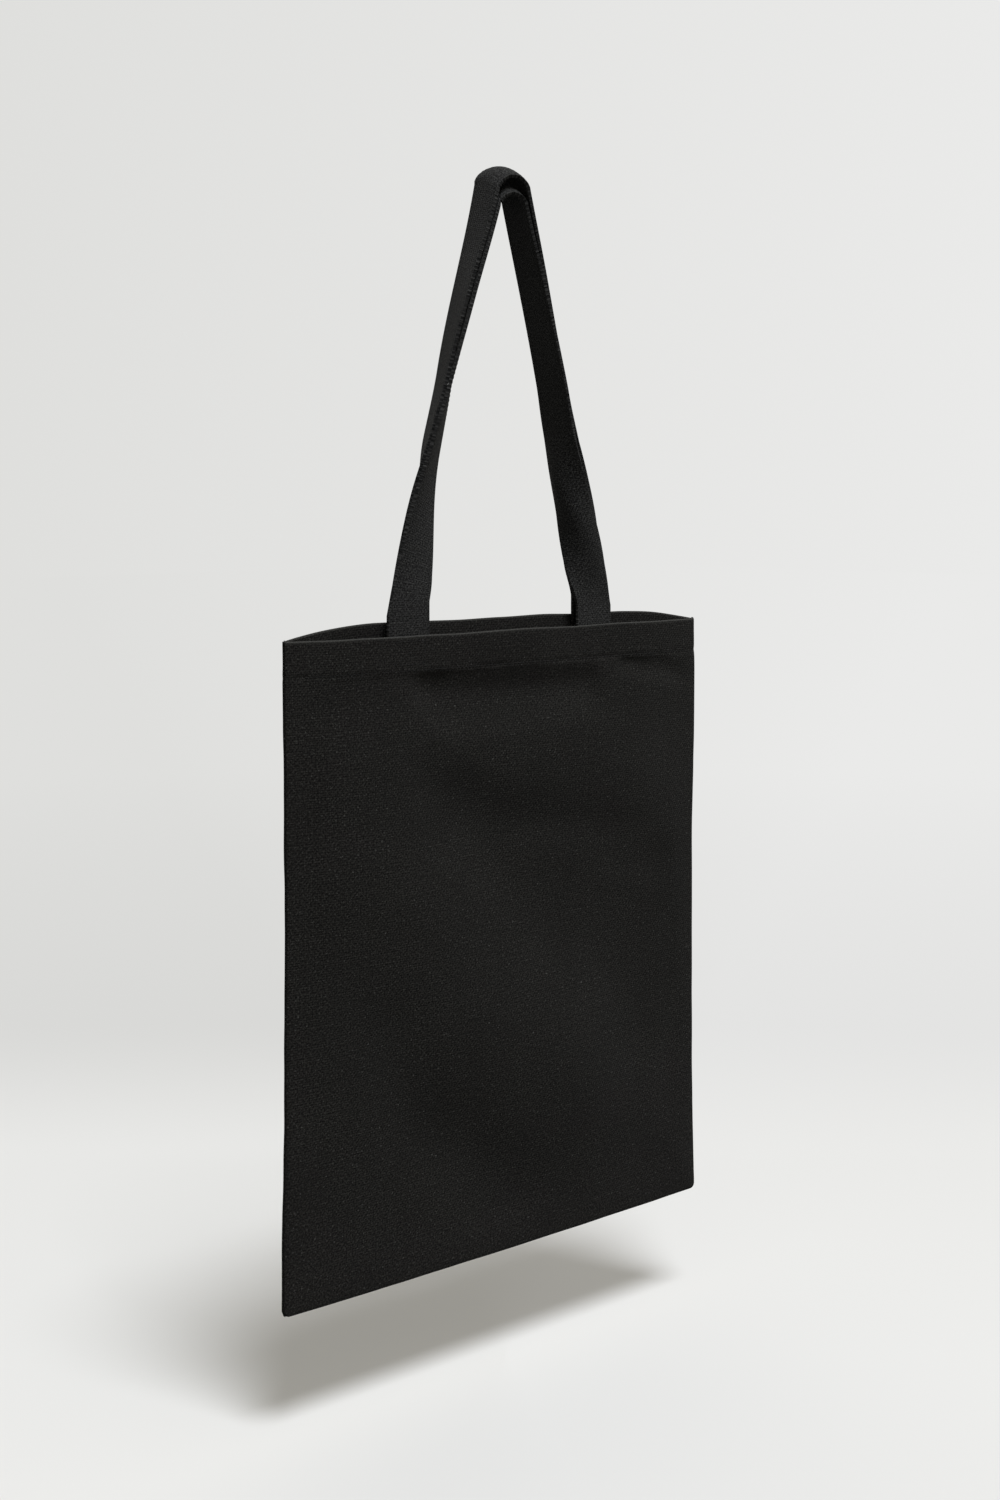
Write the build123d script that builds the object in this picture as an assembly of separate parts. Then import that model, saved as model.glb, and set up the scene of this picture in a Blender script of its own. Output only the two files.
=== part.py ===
from build123d import *
import math
import os

# Flat canvas tote bag, hung by its two straps. Millimetres.
# The origin is the underside of the front strap at the top of its loop, where a peg carries the bag.
# X runs along the rim, Z points up and the front panel faces -Y.

# Bag body
BAG_WIDTH = 380.0
BAG_HEIGHT = 420.0
CANVAS = 0.9
HEM_DEPTH = 25.0
SEAM_ALLOWANCE = 10.0
SEAM_GAP = 0.1
CORNER_ROUND = 4.0
SWELL = 5.0
FLAT_HALF = 112.0
FLAT_ABOVE_BOTTOM = 120.0
BOTTOM_ROUND_LIFT = 0.3
REAR_RIM_RISE = 8.0
RISE_HALF = 107.0

# Straps
STRAP_WIDTH = 33.0
STRAP_THICK = 2.4
FRONT_LEFT_FOOT = -91.5
FRONT_RIGHT_FOOT = 81.6
BACK_LEFT_FOOT = -83.0
BACK_RIGHT_FOOT = 85.7
STRAP_DROP = 300.0
STAND_UP = 13.0
TAIL_SEWN = 21.0
CREST_LIFT = 11.0
FRONT_CREST_RADIUS = 10.4
REAR_CREST_RADIUS = 12.0
CREST_TURN = 13.0
FOLD_CLEARANCE = 0.35
LEG_SECTIONS = 20
SECTION_SPREAD = 1.4
CREST_SECTIONS = 8

# How a leg turns: share turned early, where that ends, where the rest ends; then low belly, high belly, bow
FRONT_LEFT_TURN = (0.35, 0.315, 1.17, 2.5, -1.4, 3.0)
FRONT_RIGHT_TURN = (0.85, 0.36, 1.0, -0.6, 0.0, 1.5)
BACK_LEFT_TURN = (0.64, 0.39, 1.16, 5.6, 2.9, 4.2)
BACK_RIGHT_TURN = (0.85, 0.36, 1.0, -0.5, -0.5, 1.5)

# Sewing thread
THREAD = 0.5
THREAD_PROUD = 0.25
HEM_ROW_BELOW_RIM = 23.0
ROW_DIMPLE = 0.3
BOX_WIDTH = 26.0
BOX_TOP = 4.0
BOX_BOTTOM = 19.0
STRAP_ROW_INSET = 3.0

# Heights and depths that follow from the sizes
RIM_Z = -STRAP_DROP
BOTTOM_Z = RIM_Z - BAG_HEIGHT
HALF_WIDTH = BAG_WIDTH / 2
SEAM_DEPTH = SEAM_GAP / 2 + 2 * CANVAS
FACE_Y = SEAM_DEPTH + SWELL
HEM_INNER_Y = SEAM_GAP / 2 + SWELL
STRAP_MID_Y = HEM_INNER_Y - STRAP_THICK / 2
BEYOND = 30.0


def ease(t):
    """Smooth step from 0 to 1."""
    t = min(max(t, 0.0), 1.0)
    return t * t * (3 - 2 * t)


def swell_at(share, middle, reach):
    """A soft swelling that is 1 at middle and fades to 0 at reach on both sides."""
    return ease(1 - abs(share - middle) / reach)


def margin_drop(run, reach, rise):
    """How far a round that drops by rise over reach has dropped, at a distance run from its top."""
    radius = (reach**2 + rise**2) / (2 * rise)
    return radius - math.sqrt(radius**2 - run**2)


def behind_across(depth, spare):
    """Everything behind a front face that is flat in the middle and rounds down to both side seams."""
    top = -(depth + SWELL)
    far = BEYOND + spare
    edge = HALF_WIDTH + 4 + spare
    reach = HALF_WIDTH - FLAT_HALF
    half = (edge - FLAT_HALF) / 2
    mid = top + margin_drop(half, reach, SWELL)
    end = top + margin_drop(2 * half, reach, SWELL)
    left = ThreePointArc((-edge, end), (-FLAT_HALF - half, mid), (-FLAT_HALF, top))
    level = Line((-FLAT_HALF, top), (FLAT_HALF, top))
    right = ThreePointArc((FLAT_HALF, top), (FLAT_HALF + half, mid), (edge, end))
    rest = Polyline((edge, end), (edge, far), (-edge, far), (-edge, end))
    face = make_face(left + level + right + rest)
    tall = BAG_HEIGHT + 2 * far
    return Pos(0, 0, BOTTOM_Z - far) * extrude(face, amount=tall, dir=(0, 0, 1))


def behind_down(depth, spare):
    """Everything behind a front face that rounds down to the bottom seam, and well in front above that."""
    rise = SWELL + BOTTOM_ROUND_LIFT
    top = -(depth + rise)
    low = BOTTOM_Z - 4 - spare
    level_z = BOTTOM_Z + FLAT_ABOVE_BOTTOM
    half = (level_z - low) / 2
    mid = top + margin_drop(half, FLAT_ABOVE_BOTTOM, rise)
    end = top + margin_drop(2 * half, FLAT_ABOVE_BOTTOM, rise)
    arc = ThreePointArc((end, low), (mid, low + half), (top, level_z))
    high = RIM_Z + 2 * BEYOND
    far = BEYOND + 5 + spare
    rest = Polyline((top, level_z), (top, high), (far, high), (far, low), (end, low))
    face = Plane.YZ * make_face(arc + rest)
    return extrude(face, amount=HALF_WIDTH + BEYOND, both=True)


def behind(depth, spare):
    """Everything behind a swelling front face whose seams lie at y = -depth."""
    return behind_across(depth, spare) & behind_down(depth, spare)


def layer(outer, inner):
    """The layer of cloth between two depths."""
    return behind(outer, 0) - behind(inner, 2)


def upright(face):
    """A flat outline in X and Z made into a prism through the whole bag."""
    return extrude(Plane.XZ * face, amount=BEYOND, both=True)


def block(x0, x1, y0, y1, z0, z1):
    """A box from its limits."""
    middle = Pos((x0 + x1) / 2, (y0 + y1) / 2, (z0 + z1) / 2)
    return middle * Box(x1 - x0, y1 - y0, z1 - z0)


def rim_line(rise, below):
    """Points along the rim from left to right, a distance below it."""
    level = RIM_Z + rise - below
    ends = RIM_Z - below
    if rise == 0:
        return [(-HALF_WIDTH, ends), (HALF_WIDTH, ends)]
    return [(-HALF_WIDTH, ends), (-RISE_HALF, level), (RISE_HALF, level), (HALF_WIDTH, ends)]


def rim_band(rise, upper, lower):
    """A band that follows the rim between two distances below it."""
    high = rim_line(rise, upper)
    low = rim_line(rise, lower)
    return upright(make_face(Polyline(*high, *reversed(low), high[0])))


def outline(rise):
    """The cut of the panel, with its bottom corners a little rounded."""
    top = rim_line(rise, 0)
    foot = [(HALF_WIDTH, BOTTOM_Z), (-HALF_WIDTH, BOTTOM_Z)]
    face = make_face(Polyline(*top, *foot, top[0]))
    corners = face.vertices().group_by(Axis.Y)[0]
    return upright(fillet(corners, CORNER_ROUND))


def seam_margins():
    """The panel's seam allowances, turned inwards at the sides and the bottom and not yet trimmed."""
    inner = -SEAM_GAP / 2
    outer = inner - CANVAS
    turn = outer - CANVAS / 2
    edge = HALF_WIDTH - SEAM_ALLOWANCE
    fold = HALF_WIDTH - 1.5
    past = HALF_WIDTH + 1
    low = BOTTOM_Z - 1
    high = RIM_Z + BEYOND
    right = block(edge, past, outer, inner, low, high)
    right_turn = block(fold, past, turn, inner, low, high)
    left = block(-past, -edge, outer, inner, low, high)
    left_turn = block(-past, -fold, turn, inner, low, high)
    bottom = block(-past, past, outer, inner, low, BOTTOM_Z + SEAM_ALLOWANCE)
    bottom_turn = block(-past, past, turn, inner, low, BOTTOM_Z + 1.5)
    return left + left_turn + right + right_turn + bottom + bottom_turn


def panel(rise):
    """One canvas panel in the front position: swelling skin, turned hem and seam allowances."""
    skin = layer(SEAM_DEPTH, SEAM_DEPTH - CANVAS)
    hem = layer(SEAM_DEPTH, SEAM_GAP / 2) & rim_band(rise, -1, HEM_DEPTH)
    cloth = (skin + hem + seam_margins()) & outline(rise)
    near_row = rim_band(rise, HEM_ROW_BELOW_RIM - 0.4, HEM_ROW_BELOW_RIM + 0.4)
    dimple = layer(SEAM_DEPTH + 2, SEAM_DEPTH - ROW_DIMPLE) & near_row
    return cloth - dimple


def hem_row(rise):
    """The row of stitches that holds the hem, through both layers."""
    half = THREAD / 2
    through = layer(SEAM_DEPTH - 0.05, SEAM_GAP / 2 - THREAD_PROUD)
    row = through & rim_band(rise, HEM_ROW_BELOW_RIM - half, HEM_ROW_BELOW_RIM + half)
    end = HALF_WIDTH - SEAM_ALLOWANCE - 4
    return row & block(-end, end, -BEYOND, 0, BOTTOM_Z, RIM_Z + BEYOND)


def strap_tail(foot_x, rise):
    """The end of a strap that is sewn behind the hem and stands up to the fold."""
    x0 = foot_x - STRAP_WIDTH / 2
    x1 = foot_x + STRAP_WIDTH / 2
    fold_z = RIM_Z + rise + STAND_UP
    low = RIM_Z + rise - TAIL_SEWN
    strip = block(x0, x1, -HEM_INNER_Y, -HEM_INNER_Y + STRAP_THICK, low, fold_z)
    seat = Cylinder(STRAP_THICK + FOLD_CLEARANCE, 2 * STRAP_WIDTH, rotation=(0, 90, 0))
    return strip - Pos(foot_x, -HEM_INNER_Y, fold_z) * seat


def box_stitch(foot_x, rise):
    """The crossed box of stitches through hem and strap tail."""
    tall = BOX_BOTTOM - BOX_TOP
    slant = math.degrees(math.atan2(tall, BOX_WIDTH))
    long = math.hypot(tall, BOX_WIDTH) - THREAD
    frame = Rectangle(BOX_WIDTH, tall) - Rectangle(BOX_WIDTH - 2 * THREAD, tall - 2 * THREAD)
    cross = Rot(0, 0, slant) * Rectangle(long, THREAD)
    other = Rot(0, 0, -slant) * Rectangle(long, THREAD)
    middle_z = RIM_Z + rise - (BOX_TOP + BOX_BOTTOM) / 2
    start = -FACE_Y - THREAD_PROUD
    deep = FACE_Y - HEM_INNER_Y + STRAP_THICK + 2 * THREAD_PROUD
    plane = Plane((foot_x, start, middle_z), x_dir=(1, 0, 0), z_dir=(0, 1, 0))
    return extrude(plane * (frame + cross + other), amount=deep)


class Strap:
    """One strap: which face it is sewn to, its crest, its feet and how its legs turn."""

    def __init__(self, face, rise, crest_z, radius, feet, turns):
        self.face = face
        self.fold_z = RIM_Z + rise + STAND_UP
        self.centre_z = crest_z - radius
        self.radius = radius
        self.feet = feet
        self.turns = turns

    def lean(self, side):
        """Angle of a leg from upright, in degrees."""
        tall = self.centre_z - self.fold_z
        foot = abs(self.feet[side])
        return math.degrees(math.atan2(foot, tall) - math.asin(self.radius / math.hypot(foot, tall)))

    def crest_frame(self, angle):
        """Middle, width direction and direction of travel over the crest, at an angle up from the right."""
        turned = Axis((0, 0, 0), (0, 0, 1))
        away = Vector(1, 0, 0).rotate(Axis((0, 0, 0), (0, -1, 0)), angle).rotate(turned, -CREST_TURN)
        width = Vector(0, 1, 0).rotate(turned, -CREST_TURN)
        middle = Vector(0, 0, self.centre_z) + away * self.radius
        return middle, width, width.cross(away)

    def leg_frame(self, side, share):
        """Middle, width direction and upward direction of a leg, from 0 at the fold to 1 at the crest."""
        early, early_end, late_end, low_belly, high_belly, bow = self.turns[side]
        lean = self.lean(side)
        foot = Vector(self.feet[side], self.face * STRAP_MID_Y, self.fold_z)
        head = self.crest_frame(lean if side > 0 else 180 - lean)[0]
        settled = ease(share / 0.12)
        up = (Vector(0, 0, 1) * (1 - settled) + (head - foot).normalized() * settled).normalized()
        flat = (Vector(1, 0, 0) - up * up.X).normalized()
        done = early * ease(share / early_end) + (1 - early) * ease(share / late_end)
        width = flat.rotate(Axis((0, 0, 0), up), -side * (90 + side * CREST_TURN) * done) * -side
        out = (up * -side).cross(width)
        belly = low_belly * swell_at(share, 0.27, 0.28) + high_belly * swell_at(share, 0.57, 0.42)
        aside = Vector(side * bow * math.sin(math.pi * share) ** 2, 0, 0)
        middle = foot + (head - foot) * share + out * belly + aside
        return middle, width, up

    def frames(self):
        """Section planes from the left fold over the crest to the right fold."""
        shares = [(k / LEG_SECTIONS) ** SECTION_SPREAD for k in range(LEG_SECTIONS + 1)]
        planes = []
        for share in shares:
            middle, width, up = self.leg_frame(-1, share)
            planes.append(Plane(middle, x_dir=width, z_dir=up))
        start = 180 - self.lean(-1)
        sweep = start - self.lean(1)
        for k in range(1, CREST_SECTIONS):
            middle, width, travel = self.crest_frame(start - sweep * k / CREST_SECTIONS)
            planes.append(Plane(middle, x_dir=width, z_dir=travel))
        for share in reversed(shares):
            middle, width, up = self.leg_frame(1, share)
            planes.append(Plane(middle, x_dir=width, z_dir=-up))
        return planes

    def loop(self):
        """The strap above its folds, with a round knuckle at each fold."""
        body = loft([plane * Rectangle(STRAP_WIDTH, STRAP_THICK) for plane in self.frames()], ruled=True)
        for foot_x in self.feet.values():
            roll = Cylinder(STRAP_THICK, STRAP_WIDTH, rotation=(0, 90, 0))
            roll = Pos(foot_x, self.face * HEM_INNER_Y, self.fold_z) * roll
            y0 = min(self.face * HEM_INNER_Y, 0)
            y1 = max(self.face * HEM_INNER_Y, 0)
            low = block(foot_x - STRAP_WIDTH, foot_x + STRAP_WIDTH, y0, y1, self.fold_z - 5, self.fold_z)
            body = body + (roll & low)
        return body

    def rows(self):
        """The two rows of stitches along the strap's edges, through its layers."""
        planes = self.frames()[1:-1]
        offset = STRAP_WIDTH / 2 - STRAP_ROW_INSET
        tall = STRAP_THICK + 2 * THREAD_PROUD
        rows = []
        for side in (-1, 1):
            sections = [plane * (Pos(side * offset, 0) * Rectangle(THREAD, tall)) for plane in planes]
            rows.append(loft(sections, ruled=True))
        return Compound(children=rows)


def side_overlock(side):
    """The overlocked thread that joins the side allowances and wraps their raw edges."""
    half = SEAM_GAP / 2 + CANVAS
    edge = HALF_WIDTH - SEAM_ALLOWANCE
    low = BOTTOM_Z + SEAM_ALLOWANCE + 2
    high = RIM_Z - HEM_DEPTH - 2
    wrap = block(edge - 0.8, edge + 2, -half - 0.3, half + 0.3, low, high)
    cloth = block(edge, edge + 3, -half, half, low - 1, high + 1)
    right = wrap - cloth
    return right if side > 0 else mirror(right, about=Plane.YZ)


def bottom_overlock():
    """The overlocked thread that joins and wraps the bottom allowances."""
    half = SEAM_GAP / 2 + CANVAS
    edge = BOTTOM_Z + SEAM_ALLOWANCE
    end = HALF_WIDTH - SEAM_ALLOWANCE - 2
    wrap = block(-end, end, -half - 0.3, half + 0.3, edge - 2, edge + 0.8)
    cloth = block(-end - 1, end + 1, -half, half, edge - 3, edge)
    return wrap - cloth


def to_back(shape):
    """A piece of the front half as it sits on the back half."""
    return mirror(shape, about=Plane.XZ)


FRONT_CREST_Z = STRAP_THICK / 2
REAR_CREST_Z = FRONT_CREST_Z + CREST_LIFT
FRONT_FEET = {-1: FRONT_LEFT_FOOT, 1: FRONT_RIGHT_FOOT}
BACK_FEET = {-1: BACK_LEFT_FOOT, 1: BACK_RIGHT_FOOT}
FRONT_TURNS = {-1: FRONT_LEFT_TURN, 1: FRONT_RIGHT_TURN}
BACK_TURNS = {-1: BACK_LEFT_TURN, 1: BACK_RIGHT_TURN}

front_strap = Strap(-1, 0, FRONT_CREST_Z, FRONT_CREST_RADIUS, FRONT_FEET, FRONT_TURNS)
back_strap = Strap(1, REAR_RIM_RISE, REAR_CREST_Z, REAR_CREST_RADIUS, BACK_FEET, BACK_TURNS)

pieces = {
    "front_panel": panel(0),
    "back_panel": to_back(panel(REAR_RIM_RISE)),
    "front_hem_stitching": hem_row(0),
    "back_hem_stitching": to_back(hem_row(REAR_RIM_RISE)),
    "left_seam_overlock": side_overlock(-1),
    "right_seam_overlock": side_overlock(1),
    "bottom_seam_overlock": bottom_overlock(),
    "front_strap": front_strap.loop(),
    "front_strap_stitching": front_strap.rows(),
    "back_strap": back_strap.loop(),
    "back_strap_stitching": back_strap.rows(),
}

for word, side in (("left", -1), ("right", 1)):
    pieces[f"front_{word}_strap_tail"] = strap_tail(FRONT_FEET[side], 0)
    pieces[f"front_{word}_box_stitching"] = box_stitch(FRONT_FEET[side], 0)
    pieces[f"back_{word}_strap_tail"] = to_back(strap_tail(BACK_FEET[side], REAR_RIM_RISE))
    pieces[f"back_{word}_box_stitching"] = to_back(box_stitch(BACK_FEET[side], REAR_RIM_RISE))

os.makedirs("parts", exist_ok=True)
for name, shape in pieces.items():
    export_step(shape, f"parts/{name}.step")
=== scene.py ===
"""A plain black canvas tote bag, hung by both straps, dressed around its CAD frame.

Each class is one sewn sub-assembly. Cloth starts as the flat cut, a grid in millimetres, and is then hung into place.
The frame is the CAD's: X along the rim, Z up, the front panel faces -Y, and a peg carries the straps at the origin.
"""

import logging
import math
from collections.abc import Callable
from dataclasses import dataclass, field
from enum import Enum

import bmesh
import bpy
from bpy.types import Material, Node, NodeSocket, NodeTree, Object
from mathutils import Matrix, Vector, noise

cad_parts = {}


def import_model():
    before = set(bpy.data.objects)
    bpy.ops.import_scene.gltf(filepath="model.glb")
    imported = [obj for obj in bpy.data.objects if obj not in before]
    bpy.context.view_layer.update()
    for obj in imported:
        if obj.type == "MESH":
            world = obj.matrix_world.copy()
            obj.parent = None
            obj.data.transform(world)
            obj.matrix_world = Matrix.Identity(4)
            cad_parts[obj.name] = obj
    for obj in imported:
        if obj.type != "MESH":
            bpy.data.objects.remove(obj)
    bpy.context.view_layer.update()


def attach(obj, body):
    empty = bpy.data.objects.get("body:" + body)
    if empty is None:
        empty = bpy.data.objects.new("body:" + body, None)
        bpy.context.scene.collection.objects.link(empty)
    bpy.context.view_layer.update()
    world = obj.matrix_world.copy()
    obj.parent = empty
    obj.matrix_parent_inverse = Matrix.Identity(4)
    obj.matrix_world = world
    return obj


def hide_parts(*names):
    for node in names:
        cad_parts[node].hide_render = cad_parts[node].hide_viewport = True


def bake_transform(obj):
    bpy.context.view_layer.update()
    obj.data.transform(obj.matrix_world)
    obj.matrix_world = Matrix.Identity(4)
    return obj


LOG = logging.getLogger("tote_bag")
MM = 0.001
CUT_MAP = "cut"
NEARLY_BACK = 1.99  # radii of a fold: cloth this far inward has turned back on itself
RIM_HIGHLIGHT_LINE = 0.4  # millimetres from the cut's rim to the line of the painted rim highlight
NOISE_SEED = 5.0  # keeps the noise of the two panels apart

Pair = tuple[float, float]
Triple = tuple[float, float, float]
Line = tuple[Pair, ...]


class Named(Enum):
    """A choice with a word for it, as the CAD nodes spell it."""

    @property
    def word(self) -> str:
        """The choice's name in small letters."""
        return self.name.lower()


class Face(Named):
    """Which half of the bag a piece belongs to; the value is the sign of its outward Y."""

    FRONT = -1
    BACK = 1


class Side(Named):
    """Left or right of the bag seen from the front; the value is the sign of X."""

    LEFT = -1
    RIGHT = 1


def linear(hex_colour: str) -> tuple[float, float, float, float]:
    """Turn an sRGB hex colour into linear RGBA.

    Args:
        hex_colour: A colour such as "#1d1d1d".

    Returns:
        The linear red, green, blue and an alpha of 1.
    """
    channels = [int(hex_colour[i : i + 2], 16) / 255 for i in (1, 3, 5)]
    red, green, blue = (c / 12.92 if c <= 0.04045 else ((c + 0.055) / 1.055) ** 2.4 for c in channels)
    return red, green, blue, 1.0


def ease(t: float) -> float:
    """Smooth step from 0 to 1 over t from 0 to 1."""
    t = min(max(t, 0.0), 1.0)
    return t * t * (3 - 2 * t)


def bump(t: float) -> float:
    """A soft bell that is 1 at 0 and fades to 0 at -1 and 1."""
    return ease(1 - abs(t))


def feed(tree: NodeTree, node: Node, inputs: dict[str | int, object]) -> None:
    """Give sockets of a node a value or a link each.

    Args:
        tree: The node's tree.
        node: The node.
        inputs: Values or output sockets for its sockets, by socket name or index.
    """
    for socket, value in inputs.items():
        if isinstance(value, NodeSocket):
            tree.links.new(value, node.inputs[socket])
        else:
            node.inputs[socket].default_value = value


def add_node(tree: NodeTree, kind: str, inputs: dict[str | int, object] | None = None, **settings: object) -> Node:
    """Add one shader node with its settings and inputs.

    Args:
        tree: The node tree to add to.
        kind: The node's type name.
        inputs: Values or output sockets for its sockets, by socket name or index.
        **settings: Properties of the node itself.

    Returns:
        The new node.
    """
    node = tree.nodes.new(kind)
    for name, value in settings.items():
        setattr(node, name, value)
    feed(tree, node, inputs or {})
    return node


def maths(tree: NodeTree, operation: str, *terms: NodeSocket | float, **settings: object) -> NodeSocket:
    """Work out a value from terms that are sockets or numbers."""
    return add_node(tree, "ShaderNodeMath", dict(enumerate(terms)), operation=operation, **settings).outputs[0]


def vectors(tree: NodeTree, operation: str, *terms: NodeSocket | Triple) -> NodeSocket:
    """Work out a vector, or the value of a dot product or a length, from terms that are sockets or vectors."""
    result = "Value" if operation in ("DOT_PRODUCT", "LENGTH") else "Vector"
    return add_node(tree, "ShaderNodeVectorMath", dict(enumerate(terms)), operation=operation).outputs[result]


def ranged(
    tree: NodeTree, value: NodeSocket, given: Pair, wanted: Pair = (0.0, 1.0), **settings: object
) -> NodeSocket:
    """Map a value from a given range to a wanted one, and no further than its ends."""
    ends = dict(zip(("From Min", "From Max", "To Min", "To Max"), given + wanted))
    return add_node(tree, "ShaderNodeMapRange", {"Value": value, **ends}, **settings).outputs[0]


def mixed(tree: NodeTree, share: NodeSocket, first: str | NodeSocket, second: str | NodeSocket) -> NodeSocket:
    """Mix two colours, each an sRGB hex colour or a socket: the first at share 0, the second at 1."""
    ends = [linear(end) if isinstance(end, str) else end for end in (first, second)]
    return add_node(tree, "ShaderNodeMix", {0: share, 6: ends[0], 7: ends[1]}, data_type="RGBA").outputs[2]


def grained(tree: NodeTree, place: NodeSocket, size_mm: float, detail: float, roughness: float = 0.5) -> NodeSocket:
    """Noise with grains of a size in millimetres."""
    grains = {"Vector": place, "Scale": 1 / (size_mm * MM), "Detail": detail, "Roughness": roughness}
    return add_node(tree, "ShaderNodeTexNoise", grains).outputs["Fac"]


def new_material(name: str) -> tuple[Material, NodeTree, Node]:
    """Start a node material.

    Args:
        name: The material's name.

    Returns:
        The material, its node tree and its Principled shader.
    """
    material = bpy.data.materials.new(name)
    material.use_nodes = True
    return material, material.node_tree, material.node_tree.nodes["Principled BSDF"]


@dataclass(frozen=True)
class CanvasFinish:
    """Piece-dyed cotton canvas, plain woven from coarse spun yarn.

    To the eye it is a dull near-black with a dense grain of darker gaps and paler fibres, stray fibre ends that catch
    light as flecks, slightly uneven yarns, and no gloss. The gaps between the yarns are darkened as painted shade, and
    a paler line along the top of the rim fold is a painted highlight. The real yarns lie about 0.7 mm apart; the weave
    and its grain are drawn about twice as coarse so that they show.
    """

    name: str
    # The gap colour is the dark end of the random grain and of the painted shade between yarns.
    gap: str = "#0f0e0d"
    yarn: str = "#32312e"
    fleck_and_rim_highlight: str = "#585855"
    yarn_pitch_mm: float = 1.5
    weave_depth_mm: float = 0.32
    # Share of the colour taken away in the gaps between yarns, as painted shade.
    weave_light: float = 0.45
    grain_mm: float = 1.3
    grain_spread: Pair = (0.395, 0.655)
    grain_height: float = 0.7
    slub_mm: float = 26.0
    slub_stretch: float = 0.05
    cloud_mm: float = 70.0
    fleck_and_rim_highlight_mm: float = 1.7
    fleck_and_rim_highlight_spread: Pair = (0.63, 0.8)
    fleck_and_rim_highlight_share: float = 0.66
    # Painted highlight: a paler line across the cut, at the top of the rim fold on the panels.
    worn_line_mm: float = -100.0
    worn_reach_mm: Pair = (0.6, 2.2)
    worn_share: float = 0.42
    roughness: float = 0.92

    def material(self) -> Material:
        """Build the canvas on the piece's cut map, so that yarns run with the cloth.

        Returns:
            The canvas.
        """
        material, tree, shader = new_material(self.name)
        cut = add_node(tree, "ShaderNodeUVMap", uv_map=CUT_MAP).outputs["UV"]
        weave, over = self.weave(tree, cut)
        slubs = []
        for stretch in ((1.0, self.slub_stretch, 1.0), (self.slub_stretch, 1.0, 1.0)):
            along = vectors(tree, "MULTIPLY", cut, stretch)
            slubs.append(grained(tree, along, self.slub_mm * self.slub_stretch, detail=2.0))
        uneven = add_node(tree, "ShaderNodeMix", {0: over, 2: slubs[0], 3: slubs[1]}).outputs[0]
        broad = maths(tree, "ADD", uneven, grained(tree, cut, self.cloud_mm, detail=3.0))
        # Painted shade: the colour is darkened where the weave is low, in the gaps between yarns.
        lit = maths(tree, "MULTIPLY_ADD", weave, self.weave_light, 1 - self.weave_light)
        toned = maths(tree, "MULTIPLY", broad, lit)
        fibre = grained(tree, cut, self.grain_mm, detail=2.0, roughness=0.6)
        shade = maths(tree, "MULTIPLY", ranged(tree, fibre, self.grain_spread), toned, use_clamp=True)
        # Gap to yarn: random tone from grain, slubs and cloud, and painted shade in the weave's gaps.
        tone_and_weave_shade = mixed(tree, shade, self.gap, self.yarn)
        fluff = grained(tree, cut, self.fleck_and_rim_highlight_mm, detail=1.0)
        flecked = mixed(tree, ranged(tree, fluff, self.fleck_and_rim_highlight_spread, (0.0, self.fleck_and_rim_highlight_share)), tone_and_weave_shade, self.fleck_and_rim_highlight)
        height = maths(tree, "MULTIPLY_ADD", fibre, self.grain_height, weave)
        relief = {"Strength": 0.7, "Distance": self.weave_depth_mm * MM, "Height": height}
        look = {
            # The painted rim highlight mixes in the fleck colour.
            "Base Color": mixed(tree, self.worn(tree, cut), flecked, self.fleck_and_rim_highlight),
            "Normal": add_node(tree, "ShaderNodeBump", relief).outputs["Normal"],
            "Roughness": self.roughness,
            "Specular IOR Level": 0.08,
            "Sheen Weight": 0.02,
            "Sheen Roughness": 0.6,
        }
        feed(tree, shader, look)
        return material

    def weave(self, tree: NodeTree, cut: NodeSocket) -> tuple[NodeSocket, NodeSocket]:
        """Weave round yarns that pass over each other in turn.

        Args:
            tree: The node tree to add to.
            cut: The place on the flat cut.

        Returns:
            The height of the yarns, and which of the two ways lies on top.
        """
        pitch = 1 / (self.yarn_pitch_mm * MM)
        yarns = vectors(tree, "MULTIPLY_ADD", cut, (pitch, pitch, pitch), (0, 0, 0.5))
        split = add_node(tree, "ShaderNodeSeparateXYZ", {0: yarns}).outputs
        turns = [maths(tree, "MULTIPLY", split[axis], math.pi) for axis in ("X", "Y")]
        ridges = [maths(tree, "ABSOLUTE", maths(tree, "SINE", turn)) for turn in turns]
        over = add_node(tree, "ShaderNodeTexChecker", {"Scale": 1.0, "Vector": yarns}).outputs["Fac"]
        return add_node(tree, "ShaderNodeMix", {0: over, 2: ridges[0], 3: ridges[1]}).outputs[0], over

    def worn(self, tree: NodeTree, cut: NodeSocket) -> NodeSocket:
        """Paint a highlight as a paler line across the cut.

        Args:
            tree: The node tree to add to.
            cut: The place on the flat cut.

        Returns:
            The share of the painted highlight.
        """
        up = add_node(tree, "ShaderNodeSeparateXYZ", {0: cut}).outputs["Y"]
        away = maths(tree, "ABSOLUTE", maths(tree, "SUBTRACT", up, self.worn_line_mm * MM))
        near, far = self.worn_reach_mm
        return ranged(tree, away, (near * MM, far * MM), (self.worn_share, 0.0))


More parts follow.
